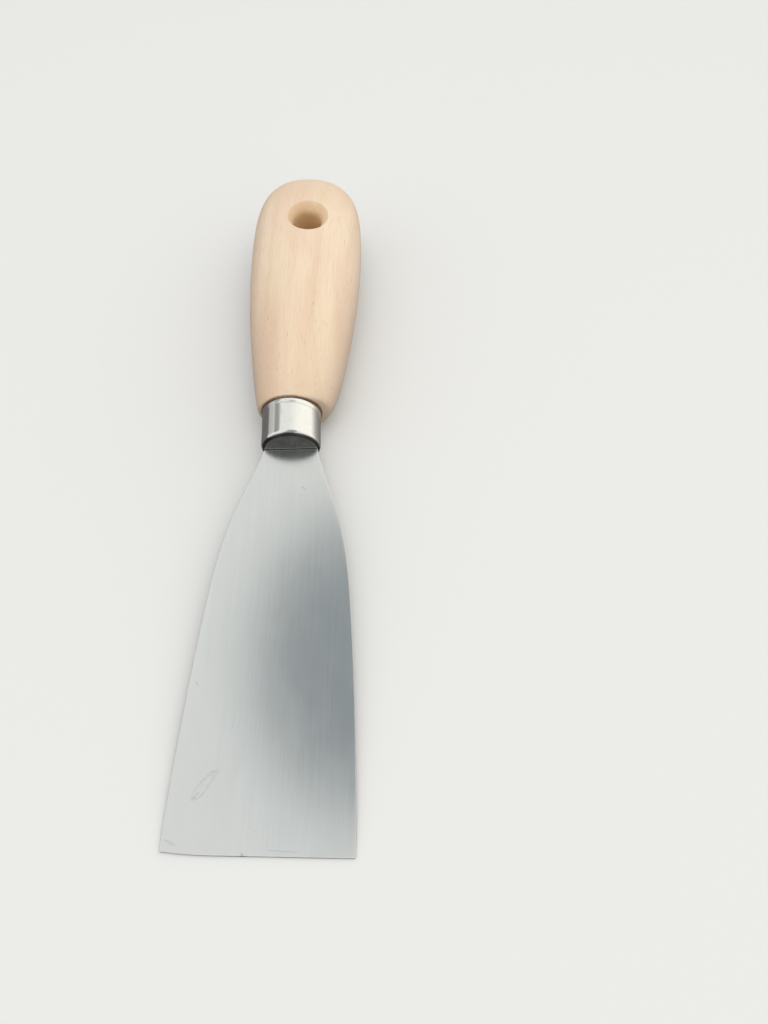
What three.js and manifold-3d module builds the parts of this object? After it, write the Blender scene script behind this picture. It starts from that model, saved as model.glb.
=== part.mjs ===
import * as THREE from 'three';
import { mergeVertices } from 'three/examples/jsm/utils/BufferGeometryUtils.js';
import Module from 'manifold-3d';

// Flexible putty knife: a tapered spring-steel blade whose tang is seated in a beech handle, with a drawn metal
// ferrule over the handle's tenon. Millimetres. The pieces are laid out along Y from the blade's tip edge (y = 0) to
// the butt, with the blade's middle plane at z = 0, and then set down the way the knife lies on a bench: on the tip
// edge and on the belly of the handle.

// ---- blade -------------------------------------------------------------------------------------------------------
const BLADE_EXPOSED = 96.0; // from the tip edge to the ferrule's end face
const TIP_THICKNESS = 0.45;
const HEEL_THICKNESS = 0.95;
const HEEL_START = 90.0; // the taper-ground faces end here, and the stock runs on at full thickness
const TIP_CORNER = 0.4; // the small round on each tip corner
// half-width of the blade at distances from the tip edge
const BLADE_HALF = [
  [6.5, 19.84], [12.3, 19.62], [18.4, 19.31], [24.6, 18.98], [31.1, 18.59], [37.8, 18.14], [44.7, 17.63], [51.9, 17.02],
  [59.4, 16.27], [63.5, 15.75], [67.2, 15.17], [71.2, 14.4], [75.2, 13.45], [79.4, 12.24], [83.6, 10.87], [87.8, 9.37],
  [90.2, 8.53], [92.3, 7.86], [94.2, 7.26], [96.2, 6.78],
];
const TIP_HALF = 20.0;
// the tang behind the mouth of the ferrule
const TANG_SHOULDER_Y = 98.6;
const TANG_SHOULDER_HALF = 6.1;
const TANG_END_Y = 150.0;
const TANG_END_HALF = 3.6;
const TANG_BARBS = [122.0, 136.0]; // nicks along each edge that hold it in the wood
const BARB_DEPTH = 0.8;

// ---- ferrule -----------------------------------------------------------------------------------------------------
const FERRULE_FRONT = BLADE_EXPOSED;
const FERRULE_LENGTH = 10.8;
const FERRULE_R = 7.65;
const FERRULE_WALL = 0.5;
const FERRULE_CORNER = 1.45; // outside radius where the end face turns into the wall
const FERRULE_LIP = 0.18; // the rolled rim stands out by this much
const SLOT_HALF_WIDTH = 7.1;
const SLOT_DEPTH = 1.25;

// ---- handle ------------------------------------------------------------------------------------------------------
const GAP = 0.3; // fitting clearance between pieces
const SHOULDER_Y = FERRULE_FRONT + FERRULE_LENGTH + GAP;
const TENON_R = FERRULE_R - FERRULE_WALL - GAP;
const TENON_FRONT = FERRULE_FRONT + FERRULE_WALL + GAP;
// distance along the handle, half-width, half-thickness
const HANDLE_SECTIONS = [
  [107.1, 8.8, 7.6], [107.3, 9.25, 7.98], [107.8, 9.65, 8.28], [108.7, 10.0, 8.54], [110.5, 10.5, 8.85], [113.5, 11.2, 9.28],
  [117.0, 11.88, 9.68], [121.0, 12.5, 10.02], [125.5, 13.16, 10.3], [130.5, 13.84, 10.52], [136.0, 14.48, 10.68],
  [142.0, 15.06, 10.76], [148.0, 15.52, 10.76], [154.0, 15.8, 10.66], [160.0, 15.96, 10.46], [165.0, 16.0, 10.22],
  [170.0, 15.88, 9.92], [174.0, 15.62, 9.62], [177.5, 15.18, 9.27], [180.5, 14.56, 8.86], [183.0, 13.77, 8.38],
  [185.2, 12.67, 7.78], [187.0, 11.35, 7.08], [188.5, 9.78, 6.24], [189.7, 8.0, 5.26], [190.55, 6.1, 4.14],
  [191.1, 4.05, 2.88], [191.35, 2.05, 1.6],
];
const BUTT_Y = 191.42;
const OVAL_POWER = 2.35; // superellipse power of the grip's section
const HANDLE_SIDES = 64;

// ---- hanging hole ------------------------------------------------------------------------------------------------
const HOLE_Y = 169.8;
const HOLE_R = 4.2;
const COUNTERSINK_R = 6.05;
const COUNTERSINK_DEPTH = 3.3;
const HOLE_SIDES = 40;

const wasm = await Module();
wasm.setup();

// a closed manifold solid from a three.js geometry
function solid(geometry) {
  let g = geometry.clone();
  g.deleteAttribute('normal');
  g.deleteAttribute('uv');
  g = mergeVertices(g, 1e-5);
  const pos = g.attributes.position;
  const src = g.index.array;
  const tri = [];
  let volume = 0;
  const a = new THREE.Vector3(), b = new THREE.Vector3(), c = new THREE.Vector3();
  for (let i = 0; i < src.length; i += 3) {
    const [p, q, r] = [src[i], src[i + 1], src[i + 2]];
    if (p === q || q === r || r === p) continue;
    tri.push(p, q, r);
    a.fromBufferAttribute(pos, p);
    b.fromBufferAttribute(pos, q);
    c.fromBufferAttribute(pos, r);
    volume += a.dot(b.cross(c)) / 6;
  }
  if (volume < 0) for (let i = 0; i < tri.length; i += 3) [tri[i + 1], tri[i + 2]] = [tri[i + 2], tri[i + 1]];
  const mesh = new wasm.Mesh({
    numProp: 3,
    vertProperties: new Float32Array(pos.array),
    triVerts: new Uint32Array(tri),
  });
  return new wasm.Manifold(mesh);
}

function toGeometry(manifold) {
  const m = manifold.getMesh();
  const g = new THREE.BufferGeometry();
  const flat = new Float32Array(m.numVert * 3);
  for (let i = 0; i < m.numVert; i++) for (let k = 0; k < 3; k++) flat[i * 3 + k] = m.vertProperties[i * m.numProp + k];
  g.setAttribute('position', new THREE.BufferAttribute(flat, 3));
  g.setIndex(new THREE.BufferAttribute(new Uint32Array(m.triVerts), 1));
  g.computeVertexNormals();
  return g;
}

// an outline in X and Y, cut through the full thickness
function plate(points, half) {
  const shape = new THREE.Shape(points.map(([x, y]) => new THREE.Vector2(x, y)));
  const g = new THREE.ExtrudeGeometry(shape, { depth: 2 * half, bevelEnabled: false, steps: 1, curveSegments: 4 });
  g.translate(0, 0, -half);
  return solid(g);
}

// a side profile in Y and Z, as wide as asked
function sidePlate(points, half) {
  const shape = new THREE.Shape(points.map(([y, z]) => new THREE.Vector2(y, z)));
  const g = new THREE.ExtrudeGeometry(shape, { depth: 2 * half, bevelEnabled: false, steps: 1 });
  g.translate(0, 0, -half);
  // the profile's first axis becomes Y, its second Z, and the extrusion runs along X
  g.applyMatrix4(new THREE.Matrix4().set(0, 0, 1, 0, 1, 0, 0, 0, 0, 1, 0, 0, 0, 0, 0, 1));
  return solid(g);
}

function mirrored(rightSide) {
  return [...rightSide, ...rightSide.filter(([x]) => x !== 0).map(([x, y]) => [-x, y]).reverse()];
}

// ---- blade -------------------------------------------------------------------------------------------------------
function bladeOutline(grow) {
  const side = [];
  for (let i = 0; i <= 3; i++) {
    const t = (-Math.PI / 2) * (1 - i / 3);
    side.push([TIP_HALF - TIP_CORNER + TIP_CORNER * Math.cos(t), TIP_CORNER + TIP_CORNER * Math.sin(t)]);
  }
  for (const [y, half] of BLADE_HALF) side.push([half, y]);
  side.push(...tangSide(grow));
  return mirrored(side);
}

function tangSide(grow) {
  const side = [];
  const half = (y) =>
    THREE.MathUtils.mapLinear(y, TANG_SHOULDER_Y, TANG_END_Y, TANG_SHOULDER_HALF, TANG_END_HALF);
  side.push([6.54 + grow, 97.3], [TANG_SHOULDER_HALF + grow, TANG_SHOULDER_Y]);
  if (grow === 0) {
    for (const y of TANG_BARBS) {
      side.push([half(y), y], [half(y) - BARB_DEPTH, y + 0.4], [half(y + 3.2), y + 3.2]);
    }
  }
  side.push([TANG_END_HALF + grow, TANG_END_Y - 1.6], [TANG_END_HALF - 1.6 + grow, TANG_END_Y + grow]);
  return side;
}

const bladeProfile = [
  [-1, -TIP_THICKNESS / 2], [HEEL_START, -HEEL_THICKNESS / 2], [TANG_END_Y + 1, -HEEL_THICKNESS / 2],
  [TANG_END_Y + 1, HEEL_THICKNESS / 2], [HEEL_START, HEEL_THICKNESS / 2], [-1, TIP_THICKNESS / 2],
];
const bladeSolid = plate(bladeOutline(0), 2).intersect(sidePlate(bladeProfile, 30));

// ---- ferrule -----------------------------------------------------------------------------------------------------
function ferruleSolid() {
  const p = [];
  const y0 = FERRULE_FRONT;
  const y1 = FERRULE_FRONT + FERRULE_LENGTH;
  const innerR = FERRULE_R - FERRULE_WALL;
  const innerCorner = FERRULE_CORNER - FERRULE_WALL;
  // outside: from the middle of the end face out to the wall and back to the rim
  p.push([0, y0], [FERRULE_R - FERRULE_CORNER, y0]);
  for (let i = 1; i <= 7; i++) {
    const t = (Math.PI / 2) * (i / 7);
    p.push([FERRULE_R - FERRULE_CORNER + FERRULE_CORNER * Math.sin(t), y0 + FERRULE_CORNER * (1 - Math.cos(t))]);
  }
  p.push([FERRULE_R, y1 - 1.3], [FERRULE_R + FERRULE_LIP, y1 - 0.75], [FERRULE_R + FERRULE_LIP, y1 - 0.25]);
  p.push([FERRULE_R + FERRULE_LIP - 0.2, y1], [innerR + 0.08, y1], [innerR, y1 - 0.2]);
  // inside: back to the closed end
  for (let i = 0; i <= 5; i++) {
    const t = (Math.PI / 2) * (1 - i / 5);
    p.push([innerR - innerCorner + innerCorner * Math.sin(t), y0 + FERRULE_WALL + innerCorner * (1 - Math.cos(t))]);
  }
  p.push([0, y0 + FERRULE_WALL]);
  const lathe = new THREE.LatheGeometry(p.map(([r, y]) => new THREE.Vector2(r, y)), 64);
  const slotHeight = HEEL_THICKNESS + 2 * GAP;
  const slot = new THREE.BoxGeometry(2 * SLOT_HALF_WIDTH, 2 * SLOT_DEPTH, slotHeight);
  slot.translate(0, FERRULE_FRONT, 0);
  return solid(lathe).subtract(solid(slot));
}

// ---- handle ------------------------------------------------------------------------------------------------------
function handleSolid() {
  // each ring: distance, half-width, half-thickness, superellipse power
  const rings = [
    [TENON_FRONT, TENON_R - 0.5, TENON_R - 0.5, 2],
    [TENON_FRONT + 0.5, TENON_R, TENON_R, 2],
    [SHOULDER_Y, TENON_R, TENON_R, 2],
    ...HANDLE_SECTIONS.map(([y, a, b]) => [y, a, b, THREE.MathUtils.mapLinear(Math.min(y, 130), SHOULDER_Y, 130, 2.1, OVAL_POWER)]),
  ];
  const points = [[0, TENON_FRONT], ...rings.map(([y]) => [1, y]), [0, BUTT_Y]];
  const g = new THREE.LatheGeometry(points.map(([r, y]) => new THREE.Vector2(r, y)), HANDLE_SIDES);
  const pos = g.attributes.position;
  const rows = points.length;
  for (let i = 0; i < pos.count; i++) {
    const row = i % rows;
    if (row === 0 || row === rows - 1) continue;
    const [y, a, b, n] = rings[row - 1];
    const turn = (2 * Math.PI * Math.round(i / rows - row / rows)) / HANDLE_SIDES;
    const s = Math.sin(turn), c = Math.cos(turn);
    const e = 2 / n;
    pos.setXYZ(i, a * Math.sign(s) * Math.abs(s) ** e, y, b * Math.sign(c) * Math.abs(c) ** e);
  }
  let body = solid(g);

  const pocket = [];
  for (const [x, y] of tangSide(GAP)) pocket.push([x, y]);
  const pocketSide = [[TANG_SHOULDER_HALF + 0.62 + GAP, TENON_FRONT - 1], ...pocket];
  const slit = plate(mirrored(pocketSide), HEEL_THICKNESS / 2 + GAP);
  body = body.subtract(slit);

  // through hole with a countersink worn smooth at each face
  const top = faceHeight(HOLE_Y);
  const flare = [];
  for (let i = 0; i <= 6; i++) {
    const t = i / 6;
    flare.push([HOLE_R + (COUNTERSINK_R - HOLE_R) * t ** 1.7, top - COUNTERSINK_DEPTH * (1 - t)]);
  }
  const outer = [...flare, [COUNTERSINK_R + 0.5, top + 0.55], [COUNTERSINK_R + 1.1, top + 3]];
  const profile = [
    [0, -(top + 3)], ...outer.map(([r, z]) => [r, -z]).reverse(), ...outer, [0, top + 3],
  ];
  const cutter = new THREE.LatheGeometry(profile.map(([r, z]) => new THREE.Vector2(r, z)), HOLE_SIDES);
  cutter.rotateX(Math.PI / 2);
  cutter.translate(0, HOLE_Y, 0);
  return body.subtract(solid(cutter));
}

function faceHeight(y) {
  for (let i = 1; i < HANDLE_SECTIONS.length; i++) {
    const [y0, , b0] = HANDLE_SECTIONS[i - 1];
    const [y1, , b1] = HANDLE_SECTIONS[i];
    if (y <= y1) return b0 + ((b1 - b0) * (y - y0)) / (y1 - y0);
  }
  return 0;
}

// ---- set down on the bench ---------------------------------------------------------------------------------------
// the lean at which the tip's lower edge and the handle's belly touch one plane
let lean = 0;
const tipLow = [0, -(TIP_THICKNESS / 2 + (HEEL_THICKNESS - TIP_THICKNESS) / 2 / (HEEL_START + 1))];
for (const [y, , b] of HANDLE_SECTIONS) lean = Math.max(lean, Math.atan2(b + tipLow[1], y - tipLow[0]));

function placed(manifold) {
  const g = toGeometry(manifold);
  g.applyMatrix4(new THREE.Matrix4().makeRotationX(lean));
  return g;
}

const pieces = [
  ['blade', bladeSolid, new THREE.MeshStandardMaterial({ name: 'blade', color: 0xc4c9cb, metalness: 1, roughness: 0.35 })],
  ['ferrule', ferruleSolid(), new THREE.MeshStandardMaterial({ name: 'ferrule', color: 0xdedcd2, metalness: 1, roughness: 0.12 })],
  ['handle', handleSolid(), new THREE.MeshStandardMaterial({ name: 'handle', color: 0xe3c29c, metalness: 0, roughness: 0.7 })],
];

const group = new THREE.Group();
const box = new THREE.Box3();
const made = pieces.map(([name, manifold, material]) => {
  const geometry = placed(manifold);
  geometry.computeBoundingBox();
  box.union(geometry.boundingBox);
  return [name, geometry, material];
});
// the origin is below the middle, on the bench
const mid = box.getCenter(new THREE.Vector3());
for (const [name, geometry, material] of made) {
  geometry.translate(-mid.x, -mid.y, -box.min.z);
  const mesh = new THREE.Mesh(geometry, material);
  mesh.name = name;
  group.add(mesh);
}

export default group;
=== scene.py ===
import math

import bpy
import numpy as np
from mathutils import Matrix, Vector
from mathutils.bvhtree import BVHTree


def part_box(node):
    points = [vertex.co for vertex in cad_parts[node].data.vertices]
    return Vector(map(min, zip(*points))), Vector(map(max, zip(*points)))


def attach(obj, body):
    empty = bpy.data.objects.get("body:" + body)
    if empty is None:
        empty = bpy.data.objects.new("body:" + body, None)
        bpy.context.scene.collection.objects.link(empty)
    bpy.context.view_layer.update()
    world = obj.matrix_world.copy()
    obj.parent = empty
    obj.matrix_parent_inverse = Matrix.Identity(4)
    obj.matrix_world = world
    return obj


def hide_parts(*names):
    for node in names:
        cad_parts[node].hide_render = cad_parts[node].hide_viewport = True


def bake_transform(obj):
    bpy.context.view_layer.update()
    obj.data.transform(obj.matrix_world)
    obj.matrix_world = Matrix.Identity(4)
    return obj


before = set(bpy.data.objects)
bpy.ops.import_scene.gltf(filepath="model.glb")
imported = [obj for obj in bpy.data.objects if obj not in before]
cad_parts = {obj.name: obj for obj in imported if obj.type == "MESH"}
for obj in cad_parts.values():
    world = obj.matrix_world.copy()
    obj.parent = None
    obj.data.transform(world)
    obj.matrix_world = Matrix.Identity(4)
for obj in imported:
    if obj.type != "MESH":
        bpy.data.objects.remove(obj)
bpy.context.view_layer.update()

# ------------------------------------------------------------------------------------------------------------------
# The knife's own frame: millimetres, Y from the tip edge to the butt, Z = 0 on the blade's middle plane. It leans
# on the bench by LEAN, resting on the tip edge and on the belly of the handle.
# ------------------------------------------------------------------------------------------------------------------
MM = 0.001
TIP_THICK, HEEL_THICK, HEEL_START = 0.45, 0.95, 90.0
BLADE_EXPOSED = 96.0
BLADE_HALF = [
    (0.0, 20.0), (6.5, 19.84), (12.3, 19.62), (18.4, 19.31), (24.6, 18.98), (31.1, 18.59), (37.8, 18.14), (44.7, 17.63),
    (51.9, 17.02), (59.4, 16.27), (63.5, 15.75), (67.2, 15.17), (71.2, 14.4), (75.2, 13.45), (79.4, 12.24),
    (83.6, 10.87), (87.8, 9.37), (90.2, 8.53), (92.3, 7.86), (94.2, 7.26), (96.2, 6.78), (97.3, 6.54), (98.6, 6.1),
    (106.0, 5.74), (121.9, 4.96), (122.4, 4.16), (125.2, 4.8), (135.9, 4.28), (136.4, 3.48), (139.2, 4.12),
    (148.4, 3.6), (149.4, 3.0), (150.0, 2.0),
]
HANDLE = [
    (107.1, 8.8, 7.6), (107.3, 9.2, 7.84), (107.8, 9.6, 8.02), (108.7, 9.98, 8.26), (110.5, 10.5, 8.7),
    (113.5, 11.2, 9.28), (117.0, 11.88, 9.68), (121.0, 12.5, 10.02), (125.5, 13.16, 10.3), (130.5, 13.84, 10.52),
    (136.0, 14.48, 10.68), (142.0, 15.06, 10.76), (148.0, 15.52, 10.76), (154.0, 15.8, 10.66), (160.0, 15.96, 10.46),
    (165.0, 16.0, 10.22), (170.0, 15.88, 9.92), (174.0, 15.62, 9.62), (177.5, 15.18, 9.27), (180.5, 14.56, 8.86),
    (183.0, 13.77, 8.38), (185.2, 12.67, 7.78), (187.0, 11.35, 7.08), (188.5, 9.78, 6.24), (189.7, 8.0, 5.26),
    (190.55, 6.1, 4.14), (191.1, 4.05, 2.88), (191.35, 2.05, 1.6), (191.42, 0.0, 0.0),
]
SHOULDER_Y = 107.1
TENON_R, TENON_FRONT = 6.85, 96.8
OVAL_POWER = 2.35
FERRULE_R, FERRULE_WALL, FERRULE_CORNER, FERRULE_LENGTH = 7.65, 0.5, 1.45, 11.05
SLOT_HALF, SLOT_DEPTH = 7.1, 1.25
FERRULE_YAW = math.radians(3.3)
HOLE_Y, HOLE_R, SINK_R, SINK_DEPTH = 169.8, 4.2, 6.05, 3.3

_tip_low = TIP_THICK / 2 + (HEEL_THICK - TIP_THICK) / 2 / (HEEL_START + 1)
LEAN = max(math.atan2(b - _tip_low, y) for y, _, b in HANDLE)
_low, _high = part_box("blade")
ORIGIN = Vector((0.0, _low.y / MM + _tip_low * math.sin(LEAN), _low.z / MM + _tip_low * math.cos(LEAN)))
TO_ROW = Matrix.Translation(ORIGIN) @ Matrix.Rotation(LEAN, 4, "X")
TO_ROW_M = Matrix.Scale(MM, 4) @ TO_ROW
TO_KNIFE = TO_ROW_M.inverted()


def row(x, y, z):
    """A point of the knife's own frame, in the row frame, in metres."""
    return TO_ROW_M @ Vector((x, y, z))


def pchip(xs, ys):
    """A smooth curve through points that never overshoots them."""
    x, y = np.array(xs, float), np.array(ys, float)
    h, d = np.diff(x), np.diff(y) / np.diff(x)
    m = np.zeros(len(x))
    for i in range(1, len(x) - 1):
        if d[i - 1] * d[i] > 0:
            w1, w2 = 2 * h[i] + h[i - 1], h[i] + 2 * h[i - 1]
            m[i] = (w1 + w2) / (w1 / d[i - 1] + w2 / d[i])
    m[0], m[-1] = d[0], d[-1]

    def at(q):
        q = np.clip(np.asarray(q, float), x[0], x[-1])
        i = np.clip(np.searchsorted(x, q) - 1, 0, len(x) - 2)
        t = (q - x[i]) / h[i]
        return (
            (2 * t**3 - 3 * t**2 + 1) * y[i]
            + (t**3 - 2 * t**2 + t) * h[i] * m[i]
            + (-2 * t**3 + 3 * t**2) * y[i + 1]
            + (t**3 - t**2) * h[i] * m[i + 1]
        )

    return at


def smooth_curve(xs, ys):
    """A natural cubic spline."""
    x, y = np.array(xs, float), np.array(ys, float)
    n, h = len(x), np.diff(x)
    a, r = np.eye(n), np.zeros(n)
    for i in range(1, n - 1):
        a[i, i - 1], a[i, i], a[i, i + 1] = h[i - 1], 2 * (h[i - 1] + h[i]), h[i]
        r[i] = 6 * ((y[i + 1] - y[i]) / h[i] - (y[i] - y[i - 1]) / h[i - 1])
    c = np.linalg.solve(a, r)

    def at(q):
        q = np.clip(np.asarray(q, float), x[0], x[-1])
        i = np.clip(np.searchsorted(x, q) - 1, 0, n - 2)
        u, v = x[i + 1] - q, q - x[i]
        return (
            c[i] * u**3 / (6 * h[i])
            + c[i + 1] * v**3 / (6 * h[i])
            + (y[i] / h[i] - c[i] * h[i] / 6) * u
            + (y[i + 1] / h[i] - c[i + 1] * h[i] / 6) * v
        )

    return at


# ------------------------------------------------------------------------------------------------------------------
# mesh helpers
# ------------------------------------------------------------------------------------------------------------------
def mesh_object(name, verts, faces, sharp=None, index=0):
    """An object whose mesh is still in the knife's own frame."""
    me = bpy.data.meshes.new(name)
    me.from_pydata([tuple(v) for v in verts], [], [tuple(f) for f in faces])
    me.validate(clean_customdata=False)
    me.update()
    for p in me.polygons:
        p.use_smooth = True
        p.material_index = index
    if sharp is not None:
        me.set_sharp_from_angle(angle=math.radians(sharp))
    ob = bpy.data.objects.new(name, me)
    bpy.context.scene.collection.objects.link(ob)
    return ob


def tube(rings, close_start, close_end):
    """Quads between rings of equal length, and a fan over each end that asks for one. Points are (ring, around, 3)."""
    rings = np.asarray(rings, float)
    k, n = rings.shape[:2]
    verts = [tuple(p) for p in rings.reshape(-1, 3)]
    faces = []
    for i in range(k - 1):
        for j in range(n):
            a, b = i * n + j, i * n + (j + 1) % n
            faces.append((a, b, b + n, a + n))
    for flag, base, flip in ((close_start, 0, True), (close_end, (k - 1) * n, False)):
        if flag is None:
            continue
        verts.append(tuple(flag))
        c = len(verts) - 1
        for j in range(n):
            a, b = base + j, base + (j + 1) % n
            faces.append((b, a, c) if flip else (a, b, c))
    return verts, faces


def outward(ob):
    """Turns every face outward by the sign of the volume."""
    me = ob.data
    me.calc_loop_triangles()
    co = np.array([v.co for v in me.vertices])
    tri = np.array([t.vertices for t in me.loop_triangles])
    vol = np.einsum("ij,ij->i", co[tri[:, 0]], np.cross(co[tri[:, 1]], co[tri[:, 2]])).sum()
    if vol < 0:
        me.flip_normals()
    return ob


def corner_source(ob):
    """What is needed to look up a smooth normal near any point of ob."""
    me = ob.data
    me.calc_loop_triangles()
    co = [v.co.copy() for v in me.vertices]
    tris = [tuple(t.vertices) for t in me.loop_triangles]
    loops = [tuple(t.loops) for t in me.loop_triangles]
    normals = [Vector(n.vector) for n in me.corner_normals]
    return BVHTree.FromPolygons(co, tris), co, tris, loops, normals


def normal_at(source, point):
    tree, co, tris, loops, normals = source
    loc, _, i, _ = tree.find_nearest(point)
    a, b, c = (co[k] for k in tris[i])
    v0, v1, v2 = b - a, c - a, loc - a
    d00, d01, d11, d20, d21 = v0.dot(v0), v0.dot(v1), v1.dot(v1), v2.dot(v0), v2.dot(v1)
    den = d00 * d11 - d01 * d01
    if abs(den) < 1e-18:
        return normals[loops[i][0]]
    v = (d11 * d20 - d01 * d21) / den
    w = (d00 * d21 - d01 * d20) / den
    u = 1 - v - w
    n = normals[loops[i][0]] * u + normals[loops[i][1]] * v + normals[loops[i][2]] * w
    return n.normalized()


def carve(base, cutters):
    """base minus the cutters, whose faces keep material indices 1, 2, ... and whose smooth normals carry over."""
    outward(base)
    sources = [corner_source(base)]
    while len(base.data.materials) < len(cutters) + 1:
        base.data.materials.append(None)
    for i, c in enumerate(cutters):
        outward(c)
        while len(c.data.materials) < len(cutters) + 1:
            c.data.materials.append(None)
        for p in c.data.polygons:
            p.material_index = i + 1
        sources.append(corner_source(c))
        m = base.modifiers.new(f"cut{i}", "BOOLEAN")
        m.operation, m.object, m.solver = "DIFFERENCE", c, "EXACT"
        m.material_mode = "INDEX"
    bpy.context.view_layer.update()
    dg = bpy.context.evaluated_depsgraph_get()
    made = bpy.data.meshes.new_from_object(base.evaluated_get(dg))
    base.modifiers.clear()
    old = base.data
    base.data = made
    bpy.data.meshes.remove(old)
    for c in cutters:
        bpy.data.objects.remove(c)
    me = base.data
    out = [None] * len(me.loops)
    for p in me.polygons:
        p.use_smooth = True
        k = p.material_index
        centre = p.center
        for li in p.loop_indices:
            v = me.vertices[me.loops[li].vertex_index].co
            n = normal_at(sources[k], v * 0.97 + centre * 0.03)
            out[li] = -n if k else n
    me.normals_split_custom_set(out)
    return base


def seat(ob, material, body=None, knife=True):
    """Moves a finished mesh from the knife's own frame to the row frame and gives it its material. The knife's own
    coordinates stay on its points for the materials to read."""
    me = ob.data
    co = np.zeros(len(me.vertices) * 3, np.float32)
    me.vertices.foreach_get("co", co)
    at = me.attributes.get("knife") or me.attributes.new("knife", "FLOAT_VECTOR", "POINT")
    at.data.foreach_set("vector", co)
    me.transform(TO_ROW_M)
    me.update()
    for i in range(len(me.materials)):
        me.materials[i] = material
    if not me.materials:
        me.materials.append(material)
    for p in me.polygons:
        p.material_index = 0
    while len(me.materials) > 1:
        me.materials.pop()
    return ob


# ------------------------------------------------------------------------------------------------------------------
# node helpers
# ------------------------------------------------------------------------------------------------------------------
class Graph:
    """Small helpers to build a node tree."""

    def __init__(self, tree):
        self.tree = tree
        self.tree.nodes.clear()

    def link(self, value, socket):
        if isinstance(value, bpy.types.NodeSocket):
            self.tree.links.new(value, socket)
        elif value is not None:
            socket.default_value = value

    def maths(self, op, a, b=None, c=None, clamp=False):
        n = self.tree.nodes.new("ShaderNodeMath")
        n.operation, n.use_clamp = op, clamp
        for s, v in zip(n.inputs, (a, b, c)):
            self.link(v, s)
        return n.outputs[0]

    def vec(self, op, a, b=None, scale=None):
        n = self.tree.nodes.new("ShaderNodeVectorMath")
        n.operation = op
        self.link(a, n.inputs[0])
        if b is not None:
            self.link(b, n.inputs[1])
        if scale is not None:
            self.link(scale, n.inputs["Scale"])
        return n.outputs["Value"] if op in ("LENGTH", "DOT_PRODUCT", "DISTANCE") else n.outputs["Vector"]

    def split(self, v):
        n = self.tree.nodes.new("ShaderNodeSeparateXYZ")
        self.link(v, n.inputs[0])
        return n.outputs

    def join(self, x, y, z):
        n = self.tree.nodes.new("ShaderNodeCombineXYZ")
        for s, v in zip(n.inputs, (x, y, z)):
            self.link(v, s)
        return n.outputs[0]

    def noise(self, v, scale=1.0, detail=2.0, rough=0.5, distortion=0.0, colour=False):
        n = self.tree.nodes.new("ShaderNodeTexNoise")
        self.link(v, n.inputs["Vector"])
        n.inputs["Scale"].default_value = scale
        n.inputs["Detail"].default_value = detail
        n.inputs["Roughness"].default_value = rough
        n.inputs["Distortion"].default_value = distortion
        return n.outputs["Color" if colour else "Fac"]

    def cells(self, v, scale=1.0, randomness=1.0):
        n = self.tree.nodes.new("ShaderNodeTexVoronoi")
        self.link(v, n.inputs["Vector"])
        n.inputs["Scale"].default_value = scale
        n.inputs["Randomness"].default_value = randomness
        return n.outputs["Distance"], n.outputs["Color"]

    def ramp(self, fac, stops, mode="LINEAR"):
        n = self.tree.nodes.new("ShaderNodeValToRGB")
        n.color_ramp.interpolation = mode
        e = n.color_ramp.elements
        while len(e) < len(stops):
            e.new(0.5)
        for el, (p, c) in zip(e, stops):
            el.position = p
            el.color = (c, c, c, 1) if isinstance(c, (int, float)) else (*c, 1)
        self.link(fac, n.inputs[0])
        return n.outputs[0]

    def span(self, v, a, b, c=0.0, d=1.0, smooth=True):
        """v from a..b to c..d, held at both ends."""
        n = self.tree.nodes.new("ShaderNodeMapRange")
        n.interpolation_type = "SMOOTHSTEP" if smooth else "LINEAR"
        n.clamp = True
        for s, x in zip(n.inputs, (v, a, b, c, d)):
            self.link(x, s)
        return n.outputs[0]

    def mix(self, fac, a, b, blend="MIX"):
        n = self.tree.nodes.new("ShaderNodeMix")
        n.data_type, n.blend_type = "RGBA", blend
        n.clamp_factor = True
        self.link(fac, n.inputs[0])
        self.link(a if isinstance(a, bpy.types.NodeSocket) else (*a, 1), n.inputs[6])
        self.link(b if isinstance(b, bpy.types.NodeSocket) else (*b, 1), n.inputs[7])
        return n.outputs[2]

    def bump(self, height, strength, distance, normal=None):
        n = self.tree.nodes.new("ShaderNodeBump")
        n.inputs["Strength"].default_value = strength
        n.inputs["Distance"].default_value = distance
        self.link(height, n.inputs["Height"])
        if normal is not None:
            self.link(normal, n.inputs["Normal"])
        return n.outputs[0]


class Nodes(Graph):
    """A material of one shader, whose patterns read the knife's own coordinates in millimetres."""

    def __init__(self, name):
        self.mat = bpy.data.materials.new(name)
        self.mat.use_nodes = True
        super().__init__(self.mat.node_tree)
        self.out = self.tree.nodes.new("ShaderNodeOutputMaterial")
        self.bsdf = self.tree.nodes.new("ShaderNodeBsdfPrincipled")
        self.tree.links.new(self.bsdf.outputs[0], self.out.inputs[0])
        a = self.tree.nodes.new("ShaderNodeAttribute")
        a.attribute_name = "knife"
        self.place = a.outputs["Vector"]


def srgb(r, g, b):
    return tuple(((c / 255) / 12.92 if c / 255 <= 0.04045 else ((c / 255 + 0.055) / 1.055) ** 2.4) for c in (r, g, b))


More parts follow.
